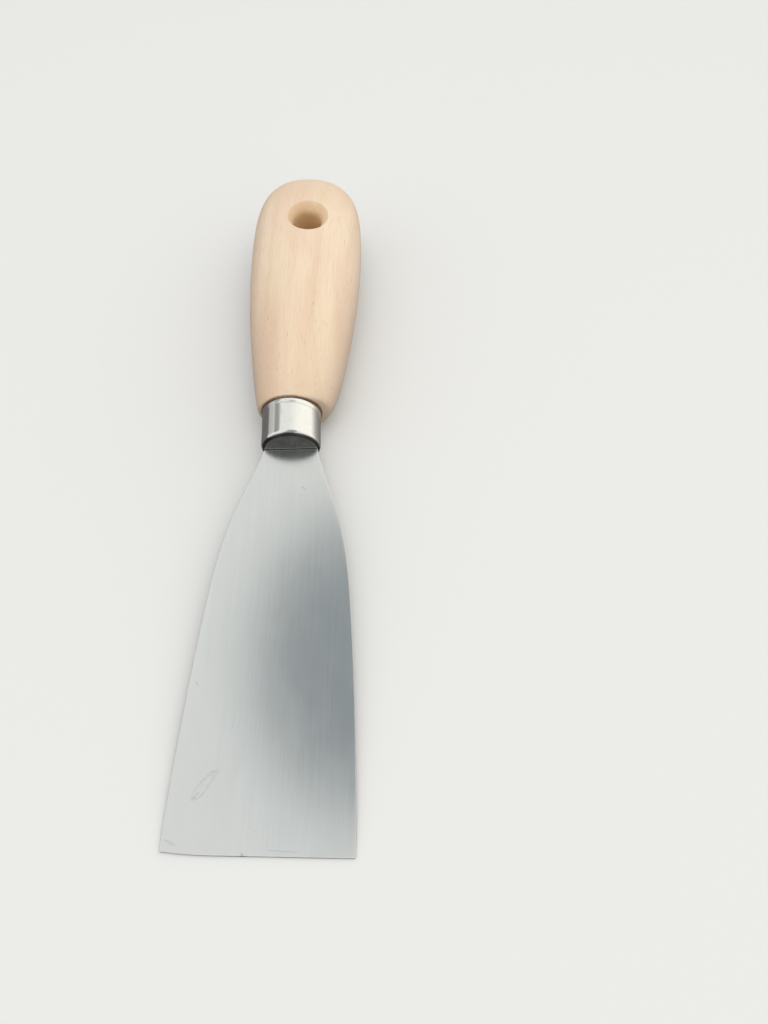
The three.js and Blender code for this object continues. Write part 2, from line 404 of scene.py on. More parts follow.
# ------------------------------------------------------------------------------------------------------------------
# materials
# ------------------------------------------------------------------------------------------------------------------
def beech():
    n = Nodes("beech_wood")
    x, y, z = n.split(n.place)
    # the fibre direction wanders a little across the handle
    wander = n.noise(n.vec("MULTIPLY", n.place, (0.03, 0.018, 0.03)), 1.0, 2.0)
    xw = n.maths("ADD", x, n.maths("MULTIPLY", n.maths("SUBTRACT", wander, 0.5), 7.0))
    fibre_at = n.join(xw, n.maths("MULTIPLY", y, 0.045), z)
    # broad tone: pinkish and yellowish heartwood
    broad = n.noise(n.join(n.maths("MULTIPLY", xw, 0.10), n.maths("MULTIPLY", y, 0.022), n.maths("MULTIPLY", z, 0.10)), 1.0, 2.0)
    yellow, pink = srgb(243, 221, 192), srgb(239, 211, 185)
    colour = n.mix(n.span(broad, 0.36, 0.64), yellow, pink)
    # the wood is warmer and a shade deeper towards the ferrule
    deep = n.span(y, 150.0, 106.0, 0.0, 1.0)
    colour = n.mix(n.maths("MULTIPLY", deep, 0.42), colour, srgb(230, 199, 170))
    # painted shade: the grip's flanks, the left one more, and the butt are darkened where the light falls off them
    left = n.maths("MULTIPLY", n.span(x, -3.0, -6.5), n.span(x, -13.5, -8.5, 0.35, 1.0))
    flank = n.maths("MULTIPLY", n.maths("MAXIMUM", left, n.span(x, 8.5, 11.5)), n.span(y, 156.0, 128.0))
    flank_and_butt_shade = n.maths("MAXIMUM", n.maths("MULTIPLY", flank, 0.34), n.span(y, 169.0, 184.0, 0.0, 0.36))
    colour = n.mix(flank_and_butt_shade, colour, srgb(208, 174, 146))
    # growth layers met at a slant: faint, wide, wavy bands along the handle
    layer_at = n.maths("ADD", n.maths("MULTIPLY", xw, 0.42), n.maths("MULTIPLY", z, 0.20))
    layer = n.noise(n.join(layer_at, n.maths("MULTIPLY", y, 0.010), 3.7), 1.0, 3.0, 0.6)
    colour = n.mix(n.span(layer, 0.42, 0.68, 0.0, 0.34), colour, srgb(226, 193, 158))
    # fibres
    fine = n.noise(fibre_at, 3.2, 3.0, 0.62)
    colour = n.mix(n.span(fine, 0.45, 0.75, 0.0, 0.26), colour, srgb(205, 168, 132))
    hair = n.noise(n.join(n.maths("MULTIPLY", xw, 2.4), n.maths("MULTIPLY", y, 0.05), n.maths("MULTIPLY", z, 2.4)), 3.4, 2.0, 0.6)
    colour = n.mix(n.span(hair, 0.55, 0.8, 0.0, 0.22), colour, srgb(250, 232, 206))
    # ray flecks: short spindles, a touch darker, never two alike
    d, c = n.cells(n.join(n.maths("MULTIPLY", xw, 1.05), n.maths("MULTIPLY", y, 0.20), n.maths("MULTIPLY", z, 1.05)), 1.0)
    cr = n.split(c)
    spindle = n.maths("MULTIPLY", n.span(d, 0.24, 0.10), n.span(cr[0], 0.45, 0.95, 0.0, 1.0))
    d2, c2 = n.cells(n.join(n.maths("MULTIPLY", xw, 2.1), n.maths("MULTIPLY", y, 0.45), n.maths("MULTIPLY", z, 2.1)), 1.0)
    cr2 = n.split(c2)
    spindle2 = n.maths("MULTIPLY", n.span(d2, 0.26, 0.10), n.span(cr2[1], 0.5, 1.0, 0.0, 0.8))
    flecks = n.maths("MAXIMUM", spindle, spindle2)
    patch = n.span(n.noise(n.vec("MULTIPLY", n.place, (0.09, 0.05, 0.09)), 1.0, 2.0), 0.35, 0.65, 0.35, 1.0)
    flecks = n.maths("MULTIPLY", flecks, patch)
    colour = n.mix(n.maths("MULTIPLY", flecks, 0.34), colour, srgb(178, 134, 98))
    # painted shade, partly darker end grain: the countersink and the hole are coloured darker and warmer, standing in
    # for the shade inside them
    from_axis = n.vec("LENGTH", n.join(n.maths("SUBTRACT", x, 0.2), n.maths("SUBTRACT", y, HOLE_Y - 0.2), 0.0))
    in_sink = n.span(from_axis, 6.6, 5.4)
    in_hole = n.span(from_axis, 4.75, 4.2)
    mottle = n.noise(n.vec("MULTIPLY", n.place, (1.0, 1.0, 0.6)), 1.6, 3.0, 0.6)
    colour = n.mix(n.maths("MULTIPLY", in_sink, n.span(mottle, 0.3, 0.7, 0.35, 0.65)), colour, srgb(232, 196, 146))
    colour = n.mix(n.maths("MULTIPLY", in_hole, 0.35), colour, srgb(226, 186, 136))
    # painted shade, partly dust and grease: the corner between the shoulder and the ferrule's rim is darkened brown
    cut = n.maths("ADD", x, n.maths("SQRT", n.maths("MULTIPLY_ADD", x, x, 9.0)))
    cut = n.maths("SUBTRACT", y, n.maths("MULTIPLY", cut, math.tan(FERRULE_YAW)))
    round_rim = n.vec("LENGTH", n.join(n.maths("ADD", x, 0.75), z, 0.0))
    grime_and_shade = n.maths("MULTIPLY", n.span(cut, 107.8, 107.3), n.span(round_rim, 8.3, 7.9))
    grime_and_shade = n.maths("MULTIPLY", grime_and_shade, n.span(mottle, 0.3, 0.7, 0.7, 0.95))
    colour = n.mix(grime_and_shade, colour, srgb(118, 84, 62))
    n.link(colour, n.bsdf.inputs["Base Color"])
    rough = n.maths("ADD", n.span(fine, 0.3, 0.7, 0.48, 0.60), n.maths("MULTIPLY", flecks, 0.08))
    n.link(rough, n.bsdf.inputs["Roughness"])
    n.bsdf.inputs["Specular IOR Level"].default_value = 0.5
    n.bsdf.inputs["Sheen Weight"].default_value = 0.16
    n.bsdf.inputs["Sheen Roughness"].default_value = 0.6
    n.bsdf.inputs["Sheen Tint"].default_value = (0.92, 0.96, 1.0, 1.0)
    height = n.maths("ADD", n.maths("MULTIPLY", fine, 0.6), n.maths("MULTIPLY", hair, 0.4))
    height = n.maths("SUBTRACT", height, n.maths("MULTIPLY", flecks, 0.5))
    b = n.bump(height, 0.30, 0.00006)
    # long shallow facets left by sanding
    flat = n.noise(n.vec("MULTIPLY", n.place, (0.16, 0.05, 0.16)), 1.0, 1.0)
    b = n.bump(flat, 0.25, 0.0005, b)
    n.link(b, n.bsdf.inputs["Normal"])
    return n.mat


def spring_steel():
    n = Nodes("blade_brushed_steel")
    x, y, z = n.split(n.place)
    # polishing lines run the blade's length
    wander = n.noise(n.vec("MULTIPLY", n.place, (0.02, 0.02, 0.02)), 1.0, 1.0)
    xw = n.maths("ADD", x, n.maths("MULTIPLY", wander, 1.5))
    lines = n.noise(n.join(n.maths("MULTIPLY", xw, 4.2), n.maths("MULTIPLY", y, 0.06), z), 1.0, 2.0, 0.6)
    coarse = n.noise(n.join(n.maths("MULTIPLY", xw, 1.6), n.maths("MULTIPLY", y, 0.035), n.maths("ADD", z, 9.0)), 1.0, 3.0, 0.6)
    hair = n.noise(n.join(n.maths("MULTIPLY", xw, 12.0), n.maths("MULTIPLY", y, 0.16), z), 1.0, 1.0, 0.5)
    cloud = n.noise(n.vec("MULTIPLY", n.place, (0.055, 0.03, 0.055)), 1.0, 3.0, 0.55)
    smear = n.noise(n.vec("ADD", n.vec("MULTIPLY", n.place, (0.16, 0.09, 0.16)), (11.0, 4.0, 0.0)), 1.0, 4.0, 0.6, 0.6)
    light, dark = (0.772, 0.785, 0.772), (0.742, 0.756, 0.747)
    colour = n.mix(n.span(lines, 0.25, 0.75), dark, light)
    colour = n.mix(n.span(coarse, 0.3, 0.7, 0.0, 0.30), colour, (0.715, 0.728, 0.72))
    colour = n.mix(n.span(cloud, 0.35, 0.65, 0.0, 0.40), colour, (0.735, 0.735, 0.705))

    def scuff(cx, cy, rx, ry, turn, width, wobble, strength, colour):
        """The outline of a small oval scratch, broken up along its run."""
        dx, dy = n.maths("SUBTRACT", x, cx), n.maths("SUBTRACT", y, cy)
        c, s = math.cos(turn), math.sin(turn)
        u = n.maths("ADD", n.maths("MULTIPLY", dx, c / rx), n.maths("MULTIPLY", dy, s / rx))
        v = n.maths("ADD", n.maths("MULTIPLY", dx, -s / ry), n.maths("MULTIPLY", dy, c / ry))
        r = n.vec("LENGTH", n.join(u, v, 0.0))
        shift = n.noise(n.vec("MULTIPLY", n.place, (0.5, 0.5, 0.0)), 1.0, 3.0)
        r = n.maths("ADD", r, n.maths("MULTIPLY", n.maths("SUBTRACT", shift, 0.5), wobble))
        ring = n.span(n.maths("ABSOLUTE", n.maths("SUBTRACT", r, 1.0)), width, width * 0.25)
        breaks = n.span(n.noise(n.vec("ADD", n.vec("MULTIPLY", n.place, (0.9, 0.9, 0.0)), (3.0, 8.0, 0.0)), 1.0, 2.0), 0.40, 0.60)
        m = n.maths("MULTIPLY", n.maths("MULTIPLY", ring, n.maths("MULTIPLY_ADD", breaks, 0.65, 0.35)), strength)
        return m, n.mix(m, colour, (0.40, 0.41, 0.43))

    def line(ax, ay, bx, by, width, strength, colour, tone=(0.36, 0.36, 0.37)):
        """A short straight mark from one point to another."""
        lx, ly = bx - ax, by - ay
        length = math.hypot(lx, ly)
        ux, uy = lx / length, ly / length
        dx, dy = n.maths("SUBTRACT", x, ax), n.maths("SUBTRACT", y, ay)
        along = n.maths("ADD", n.maths("MULTIPLY", dx, ux), n.maths("MULTIPLY", dy, uy))
        across = n.maths("ADD", n.maths("MULTIPLY", dx, -uy), n.maths("MULTIPLY", dy, ux))
        bend = n.noise(n.vec("MULTIPLY", n.place, (0.7, 0.7, 0.0)), 1.0, 2.0)
        across = n.maths("ADD", across, n.maths("MULTIPLY", n.maths("SUBTRACT", bend, 0.5), width * 2.5))
        a = n.span(n.maths("ABSOLUTE", across), width, width * 0.2)
        inside = n.maths("MULTIPLY", n.span(along, -0.2, 0.25), n.span(along, length + 0.2, length - 0.25))
        m = n.maths("MULTIPLY", n.maths("MULTIPLY", a, inside), strength)
        return m, n.mix(m, colour, tone)

    marks = []
    for args in (
        (-12.55, 13.3, 2.95, 0.95, math.radians(55), 0.30, 0.7, 0.20),
        (-11.3, 14.8, 2.2, 0.6, math.radians(48), 0.40, 0.9, 0.10),
    ):
        m, colour = scuff(*args, colour)
        marks.append(m)
    for args in (
        (-14.35, 10.85, -13.2, 12.2, 0.24, 0.26),
        (-19.3, 2.75, -17.2, 2.2, 0.24, 0.24),
        (-18.6, 2.2, -16.6, 1.8, 0.18, 0.16),
        (2.2, 1.25, 8.4, 1.05, 0.12, 0.26),
        (-1.0, 4.9, -0.6, 4.5, 0.22, 0.12),
        (-17.0, 35.3, -16.2, 34.4, 0.20, 0.25),
        (-7.2, 28.0, -8.0, 24.7, 0.11, 0.20),
        (3.35, 84.9, 4.35, 84.5, 0.24, 0.28),
        (6.1, 84.2, 6.5, 84.1, 0.12, 0.22),
        (9.4, 33.0, 9.9, 31.2, 0.10, 0.20),
        (-1.5, 57.5, -0.9, 56.9, 0.12, 0.22),
        (11.8, 61.3, 12.3, 60.2, 0.10, 0.18),
        (-3.2, 0.7, -2.8, 0.02, 0.30, 0.42),
    ):
        m, colour = line(*args, colour)
        marks.append(m)
    allmarks = marks[0]
    for m in marks[1:]:
        allmarks = n.maths("MAXIMUM", allmarks, m)
    # the tip edge is paler over its last half millimetre
    edge = n.maths("MAXIMUM", n.span(y, 0.55, 0.05, 0.0, 0.7), 0.0)
    colour = n.mix(edge, colour, (0.80, 0.81, 0.81))
    n.link(colour, n.bsdf.inputs["Base Color"])
    n.bsdf.inputs["Metallic"].default_value = 1.0
    n.bsdf.inputs["Anisotropic"].default_value = 0.35
    rough = n.span(lines, 0.2, 0.8, 0.204, 0.226)
    rough = n.maths("ADD", rough, n.span(smear, 0.35, 0.70, -0.01, 0.02))
    # the polishing belt never reached the last of the neck
    rough = n.maths("ADD", rough, n.span(y, 87.5, 94.0, 0.0, 0.03))
    rough = n.maths("ADD", rough, n.maths("MULTIPLY", allmarks, 0.25))
    n.link(rough, n.bsdf.inputs["Roughness"])
    height = n.maths("ADD", n.maths("MULTIPLY", lines, 0.7), n.maths("MULTIPLY", hair, 0.3))
    height = n.maths("ADD", height, n.maths("MULTIPLY", coarse, 0.35))
    height = n.maths("SUBTRACT", height, n.maths("MULTIPLY", allmarks, 0.6))
    b = n.bump(height, 0.06, 0.000006)
    # the ground face is not a perfect plane
    swell = n.noise(n.vec("MULTIPLY", n.place, (0.035, 0.02, 0.0)), 1.0, 1.0)
    b = n.bump(swell, 0.10, 0.0006, b)
    n.link(b, n.bsdf.inputs["Normal"])
    tangent = n.tree.nodes.new("ShaderNodeTangent")
    tangent.direction_type, tangent.axis = "RADIAL", "X"
    n.link(tangent.outputs[0], n.bsdf.inputs["Tangent"])
    return n.mat


def nickel():
    n = Nodes("ferrule_nickel_plate")
    x, y, z = n.split(n.place)
    turn = n.maths("ARCTAN2", z, x)
    drawn = n.noise(n.join(n.maths("MULTIPLY", turn, 26.0), n.maths("MULTIPLY", y, 0.22), 2.0), 1.0, 3.0, 0.6)
    tarnish = n.noise(n.vec("MULTIPLY", n.place, (0.35, 0.5, 0.35)), 1.0, 3.0, 0.6)
    colour = n.mix(n.span(tarnish, 0.40, 0.75, 0.0, 0.5), (0.87, 0.862, 0.825), (0.80, 0.782, 0.72))
    colour = n.mix(n.span(drawn, 0.45, 0.8, 0.0, 0.18), colour, (0.70, 0.69, 0.65))
    # painted shade: a dark line in the root of the rolled rim and round the slot, which are also made rougher
    root = n.maths("MULTIPLY", n.span(n.maths("ABSOLUTE", n.maths("SUBTRACT", y, 105.7)), 0.35, 0.05), 0.30)
    colour = n.mix(root, colour, (0.36, 0.33, 0.28))
    slot = n.maths("MULTIPLY", n.span(n.maths("ABSOLUTE", z), 1.35, 0.8), n.span(y, 97.6, 96.6))
    colour = n.mix(n.maths("MULTIPLY", slot, 0.45), colour, (0.30, 0.28, 0.24))
    # painted reflection: the end face's colour is made nearly black to stand in for the dark room it mirrors; it is
    # also rougher
    depth = n.maths("SUBTRACT", n.maths("SUBTRACT", y, n.maths("MULTIPLY", x, math.tan(FERRULE_YAW))), BLADE_EXPOSED)
    face = n.span(depth, 0.95, 0.45)
    colour = n.mix(n.maths("MULTIPLY", face, n.span(tarnish, 0.3, 0.7, 0.92, 0.80)), colour, (0.145, 0.146, 0.137))
    # painted shade: darkest in the corner where the face turns into the side; painted highlight: a pale, less metallic
    # line along the slot's upper edge
    corner = n.maths("MULTIPLY", n.span(depth, 0.04, 0.16), n.span(depth, 0.75, 0.5))
    colour = n.mix(n.maths("MULTIPLY", corner, 0.85), colour, (0.055, 0.055, 0.052))
    slot_edge_highlight = n.maths("MULTIPLY", n.span(z, 1.15, 0.95), n.span(depth, 0.35, 0.2))
    colour = n.mix(n.maths("MULTIPLY", slot_edge_highlight, 0.8), colour, (0.46, 0.46, 0.43))
    n.link(n.maths("SUBTRACT", 1.0, n.maths("MULTIPLY", slot_edge_highlight, 0.55)), n.bsdf.inputs["Metallic"])
    n.link(colour, n.bsdf.inputs["Base Color"])
    rough = n.maths("ADD", n.span(tarnish, 0.3, 0.75, 0.125, 0.19), n.span(drawn, 0.4, 0.8, 0.0, 0.05))
    rough = n.maths("ADD", rough, n.maths("MULTIPLY", n.maths("ADD", n.maths("ADD", root, slot), n.maths("MULTIPLY", face, 0.4)), 0.2))
    n.link(rough, n.bsdf.inputs["Roughness"])
    wave = n.noise(n.vec("MULTIPLY", n.place, (0.20, 0.16, 0.20)), 1.0, 1.0)
    b = n.bump(wave, 0.07, 0.0004)
    b = n.bump(n.maths("MULTIPLY", drawn, n.maths("SUBTRACT", 1.0, face)), 0.10, 0.00002, b)
    pits = n.noise(n.vec("MULTIPLY", n.place, (2.6, 2.6, 2.6)), 1.0, 2.0)
    b = n.bump(n.span(pits, 0.68, 0.8), 0.12, 0.00003, b)
    n.link(b, n.bsdf.inputs["Normal"])
    return n.mat


# ------------------------------------------------------------------------------------------------------------------
# blade
# ------------------------------------------------------------------------------------------------------------------
def blade():
    half = pchip([p[0] for p in BLADE_HALF], [p[1] for p in BLADE_HALF])
    corner, chamfer = 0.4, 0.08
    ys = [0.0, 0.02, 0.05, 0.08, 0.13, 0.2, 0.28, 0.4, 0.6, 0.9, 1.4]
    ys += list(np.arange(2.0, 96.01, 1.0))
    ys += [96.5, 97.0, 97.3, 97.8, 98.2, 98.6, 99.5, 101.0, 103.0, 106.0, 110.0, 114.0, 118.0, 121.6, 121.9, 122.1, 122.4, 123.5,
           125.2, 128.0, 132.0, 135.6, 135.9, 136.1, 136.4, 137.5, 139.2, 142.0, 145.0, 147.6, 148.4, 148.8, 149.2, 149.6, 149.85, 150.0]
    across = 26
    us = np.linspace(-1, 1, across + 1)
    rings = []
    for y in ys:
        h = float(half(y))
        if y < corner:
            h -= corner - math.sqrt(max(corner**2 - (corner - y) ** 2, 0.0))
        t = 0.5 * (TIP_THICK + (HEEL_THICK - TIP_THICK) * min(max((y + 1) / (HEEL_START + 1), 0), 1))
        c = chamfer
        if y < chamfer:  # the tip edge is chamfered too
            t -= chamfer - math.sqrt(chamfer**2 - (chamfer - y) ** 2)
        if y > 149.9:
            t -= 0.06
        c = min(c, t * 0.8)
        top = [(u * (h - c), t) for u in us[::-1]]
        side = [math.radians(a) for a in (67.5, 45, 22.5)]
        left = [(-(h - c) - c * math.cos(a), (t - c) + c * math.sin(a)) for a in side]
        left += [(-h, t - c), (-h, 0.0), (-h, -(t - c))]
        left += [(-(h - c) - c * math.cos(a), -(t - c) - c * math.sin(a)) for a in side[::-1]]
        bottom = [(u * (h - c), -t) for u in us]
        right = [(-px, -pz) for px, pz in left]
        loop = top + left + bottom + right
        ring = []
        for px, pz in loop:
            py = y
            # the near corner of the tip edge is rubbed back, and the edge has a small nick
            if y < 9.0:
                worn = 0.55 * (max(-px - 9.0, 0.0) / 11.0) ** 2
                worn += 0.05 * max(0.0, 1 - abs(px + 2.93) / 0.55)
                worn += 0.02 * (1 + math.sin(px * 1.7 + 0.6)) * 0.5
                py = y + worn * (1 - y / 9.0)
            ring.append((px, py, pz))
        rings.append(ring)
    verts, faces = tube(rings, (0.0, 0.0, 0.0), (0.0, 150.0, 0.0))
    ob = mesh_object("blade_spring_steel", verts, faces)
    outward(ob)
    ob.data.set_sharp_from_angle(angle=math.radians(40))
    seat(ob, spring_steel())
    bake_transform(ob)
    # the knife's own coordinates are read back here, but nothing uses them
    co = np.zeros(len(ob.data.vertices) * 3, np.float32)
    ob.data.attributes["knife"].data.foreach_get("vector", co)
    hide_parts("blade")
    return ob


# ------------------------------------------------------------------------------------------------------------------
# ferrule
# ------------------------------------------------------------------------------------------------------------------


def ferrule():
    y0, y1 = BLADE_EXPOSED, BLADE_EXPOSED + FERRULE_LENGTH
    inner, inner_corner = FERRULE_R - FERRULE_WALL, FERRULE_CORNER - FERRULE_WALL
    p = [(1.5, y0), (3.5, y0), (5.2, y0), (FERRULE_R - FERRULE_CORNER, y0)]
    for i in range(1, 15):
        t = math.pi / 2 * i / 14
        p.append((FERRULE_R - FERRULE_CORNER + FERRULE_CORNER * math.sin(t), y0 + FERRULE_CORNER * (1 - math.cos(t))))
    for y in np.linspace(y0 + FERRULE_CORNER + 0.6, y1 - 1.5, 8):
        p.append((FERRULE_R, y))
    # the rim is rolled out a little and rounded over
    p += [(FERRULE_R + 0.005, y1 - 1.35), (FERRULE_R + 0.025, y1 - 1.18), (FERRULE_R + 0.055, y1 - 1.0), (FERRULE_R + 0.085, y1 - 0.82),
          (FERRULE_R + 0.105, y1 - 0.62), (FERRULE_R + 0.11, y1 - 0.42), (FERRULE_R + 0.10, y1 - 0.25), (FERRULE_R + 0.07, y1 - 0.11),
          (FERRULE_R + 0.01, y1 - 0.02), (FERRULE_R - 0.08, y1), (inner + 0.16, y1), (inner + 0.05, y1 - 0.05), (inner, y1 - 0.16)]
    for i in range(9):
        t = math.pi / 2 * (1 - i / 8)
        p.append((inner - inner_corner + inner_corner * math.sin(t), y0 + FERRULE_WALL + inner_corner * (1 - math.cos(t))))
    p += [(4.0, y0 + FERRULE_WALL), (1.5, y0 + FERRULE_WALL)]
    sides = 128
    rings = [[(r * math.cos(2 * math.pi * k / sides), y, r * math.sin(2 * math.pi * k / sides)) for k in range(sides)] for r, y in p]
    verts, faces = tube(rings, (0, y0, 0), (0, y0 + FERRULE_WALL, 0))
    ob = mesh_object("ferrule_nickel_cup", verts, faces)
    outward(ob)
    ob.data.set_sharp_from_angle(angle=math.radians(50))
    hs, hw, d = HEEL_THICK / 2 + 0.3, SLOT_HALF, SLOT_DEPTH
    box = [(sx * hw, y0 + sy * d, sz * hs) for sx in (-1, 1) for sy in (-1, 1) for sz in (-1, 1)]
    quads = [(0, 1, 3, 2), (4, 6, 7, 5), (0, 4, 5, 1), (2, 3, 7, 6), (0, 2, 6, 4), (1, 5, 7, 3)]
    cut = mesh_object("slot_cut", box, quads, sharp=20)
    carve(ob, [cut])
    # it sits a little askew on the tenon, turned about the slot
    ob.data.transform(Matrix.Translation((-0.12, y0, 0)) @ Matrix.Rotation(FERRULE_YAW, 4, "Z") @ Matrix.Translation((0, -y0, 0)))
    seat(ob, nickel())
    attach(ob, "handle")
    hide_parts("ferrule")
    return ob


# ------------------------------------------------------------------------------------------------------------------
# handle
# ------------------------------------------------------------------------------------------------------------------
def handle():
    ts = [0.0]
    for (y0, a0, _), (y1, a1, _) in zip(HANDLE, HANDLE[1:]):
        ts.append(ts[-1] + math.hypot(y1 - y0, a1 - a0))
    fy, fa, fb = (smooth_curve(ts, [h[i] for h in HANDLE]) for i in range(3))
    # the grip's middle line is not perfectly straight, as hand-finished wood is not
    drift = smooth_curve([SHOULDER_Y, 109.2, 112.5, 128, 150, 165, 178, 191.42], [-0.18, 0.02, 0.18, 0.16, 0.0, -0.22, -0.4, -0.5])
    # dense near the shoulder and the butt
    steps = list(np.linspace(0, 2.2, 12)) + list(np.linspace(3.0, ts[-1] - 16, 92)) + list(ts[-1] - 16 + 16 * (1 - (1 - np.linspace(0.03, 0.985, 30)) ** 1.3))
    sides = 144
    # points evenly spread round each oval
    def oval(a, b, n, count):
        t = np.linspace(0, 2 * math.pi, 1441)
        c, s = np.cos(t), np.sin(t)
        x, z = a * np.sign(c) * abs(c) ** (2 / n), b * np.sign(s) * abs(s) ** (2 / n)
        length = np.concatenate([[0], np.cumsum(np.hypot(np.diff(x), np.diff(z)))])
        q = np.linspace(0, length[-1], count + 1)[:-1]
        return np.interp(q, length, x), np.interp(q, length, z)

    rings = []
    tenon = [(TENON_FRONT, TENON_R - 0.5), (TENON_FRONT + 0.15, TENON_R - 0.3), (TENON_FRONT + 0.5, TENON_R), (100.0, TENON_R), (104.0, TENON_R), (SHOULDER_Y - 0.02, TENON_R)]
    for y, r in tenon:
        off = -0.12 - math.tan(FERRULE_YAW) * (y - BLADE_EXPOSED)
        x, z = oval(r, r, 2.0, sides)
        rings.append([(px + off, y, pz) for px, pz in zip(x, z)])
    for y, share in ((SHOULDER_Y, 0.06), (SHOULDER_Y, 0.5)):
        x, z = oval(TENON_R + (8.8 - TENON_R) * share, TENON_R + (7.6 - TENON_R) * share, 2.05, sides)
        off = -0.7 * (1 - share) - 0.18 * share
        rings.append([(px + off, y, pz) for px, pz in zip(x, z)])
    for t in steps:
        y, a, b = float(fy(t)), max(float(fa(t)), 0.05), max(float(fb(t)), 0.05)
        n = 2.1 + (OVAL_POWER - 2.1) * min(max((y - SHOULDER_Y) / (130 - SHOULDER_Y), 0), 1)
        x, z = oval(a, b, n, sides)
        rings.append([(px + float(drift(y)), y, pz) for px, pz in zip(x, z)])
    # the right side of the shoulder was cut further back, square to the crooked ferrule
    lean = math.tan(FERRULE_YAW)
    for ring in rings[len(tenon):]:
        for i, (px, py, pz) in enumerate(ring):
            fade = min(max((118.0 - py) / (118.0 - SHOULDER_Y), 0), 1) ** 2
            ring[i] = (px, py + lean * 1.0 * (px + math.sqrt(px * px + 9.0)) * fade, pz)
    verts, faces = tube(rings, (-0.12, TENON_FRONT, 0), (float(drift(191.42)), HANDLE[-1][0], 0))
    ob = mesh_object("handle_beech", verts, faces)
    outward(ob)
    ob.data.set_sharp_from_angle(angle=math.radians(50))

    slit_half = HEEL_THICK / 2 + 0.3
    side = [(7.02, TENON_FRONT - 1), (6.84, 97.3), (6.4, 98.6), (3.9, 148.4), (2.3, 150.3)]
    outline = side + [(-px, py) for px, py in side[::-1]]
    k = len(outline)
    verts = [(px, py, -slit_half) for px, py in outline] + [(px, py, slit_half) for px, py in outline]
    faces = [tuple(range(k)), tuple(range(2 * k - 1, k - 1, -1))] + [(i, (i + 1) % k, (i + 1) % k + k, i + k) for i in range(k)]
    slit = mesh_object("slit_cut", verts, faces, sharp=20)
    # the top face is lower towards the butt, and the sink follows it
    top = float(fb(np.interp(HOLE_Y, [h[0] for h in HANDLE], ts)))
    prof, rim = [], SINK_R + 0.25
    for i in range(9):
        t = i / 8
        prof.append((HOLE_R + (rim - HOLE_R) * t**1.55, top - SINK_DEPTH * (1 - t)))
    # broken edge: the sink opens out until it almost lies in the face
    prof += [(rim + 0.22, top + 0.16), (rim + 0.55, top + 0.27), (rim + 1.1, top + 0.36), (rim + 2.0, top + 1.4), (rim + 3, top + 4)]
    slope = math.atan2(9.62 - 10.22, 174.0 - 165.0)
    sides = 72
    rings = []
    for r, z in [(r, -z) for r, z in prof[::-1]] + [(HOLE_R, zz) for zz in np.linspace(-(top - SINK_DEPTH) + 1, top - SINK_DEPTH - 1, 7)] + prof:
        share = min(max((r - HOLE_R) / (rim - HOLE_R), 0), 1.4)
        ring = []
        for i in range(sides):
            q = 2 * math.pi * i / sides
            px, py = r * math.cos(q) + 0.72 * share - 0.12, r * math.sin(q) - 0.32 + 0.2 * share
            ring.append((px, HOLE_Y + py, z + math.copysign(1, z) * slope * py * min(share, 1)))
        rings.append(ring)
    verts, faces = tube(rings, (0.6, HOLE_Y, -(top + 4)), (0.6, HOLE_Y, top + 4))
    hole = mesh_object("hole_cut", verts, faces, sharp=60)
    carve(ob, [slit, hole])
    seat(ob, beech())
    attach(ob, "handle")
    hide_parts("handle")
    return ob


# ------------------------------------------------------------------------------------------------------------------
# stage: floor, reflection cards, lights, camera
# ------------------------------------------------------------------------------------------------------------------
def plain(name, colour, rough=0.9):
    m = bpy.data.materials.new(name)
    m.use_nodes = True
    b = m.node_tree.nodes["Principled BSDF"]
    b.inputs["Base Color"].default_value = (*colour, 1)
    b.inputs["Roughness"].default_value = rough
    b.inputs["Specular IOR Level"].default_value = 0.2
    return m


def glow(name, colour, mask=None):
    """A stage material that only gives off an even light. mask builds its cover, 0 to 1, from the sheet's own UV."""
    m = bpy.data.materials.new(name)
    m.use_nodes = True
    g = Graph(m.node_tree)
    out, em = g.tree.nodes.new("ShaderNodeOutputMaterial"), g.tree.nodes.new("ShaderNodeEmission")
    uv = g.tree.nodes.new("ShaderNodeTexCoord").outputs["Object"]
    g.link(colour(g, uv) if callable(colour) else (*colour, 1), em.inputs["Color"])
    if mask is None:
        g.link(em.outputs[0], out.inputs[0])
    else:
        clear, mix = g.tree.nodes.new("ShaderNodeBsdfTransparent"), g.tree.nodes.new("ShaderNodeMixShader")
        g.link(mask(g, uv), mix.inputs[0])
        g.link(clear.outputs[0], mix.inputs[1])
        g.link(em.outputs[0], mix.inputs[2])
        g.link(mix.outputs[0], out.inputs[0])
    return m


def sheet(name, points, material, camera=False, diffuse=False, glossy=True, shadow=False, place=None):
    """A flat stage piece from corner points in metres."""
    me = bpy.data.meshes.new(name)
    me.from_pydata([tuple(p) for p in points], [], [tuple(range(len(points)))])
    me.update()
    me.materials.append(material)
    ob = bpy.data.objects.new(name, me)
    bpy.context.scene.collection.objects.link(ob)
    if place is not None:
        ob.matrix_world = place
    ob.visible_camera, ob.visible_diffuse, ob.visible_glossy, ob.visible_shadow = camera, diffuse, glossy, shadow
    ob.visible_transmission = ob.visible_volume_scatter = False
    return ob


def oval_card(name, centre, radii, height, power, inner, outer, colour):
    """A soft-edged oval sheet parallel to the blade, in the knife's millimetres, met only by reflections."""

    def mask(g, at):
        x, y, _ = g.split(at)
        u = g.maths("POWER", g.maths("ABSOLUTE", x), power)
        v = g.maths("POWER", g.maths("ABSOLUTE", y), power)
        r = g.maths("POWER", g.maths("ADD", u, v), 1 / power)
        return g.span(r, outer, inner)

    k = outer * 1.02
    place = TO_ROW_M @ Matrix.Translation((*centre, height)) @ Matrix.Diagonal((*radii, 1, 1))
    return sheet(name, [(-k, -k, 0), (k, -k, 0), (k, k, 0), (-k, k, 0)], glow(name, colour, mask), place=place)


def heading(az, el):
    """A unit vector: azimuth from +Y towards +X, and elevation, in degrees."""
    a, e = math.radians(az), math.radians(el)
    return Vector((math.sin(a) * math.cos(e), math.cos(a) * math.cos(e), math.sin(e)))


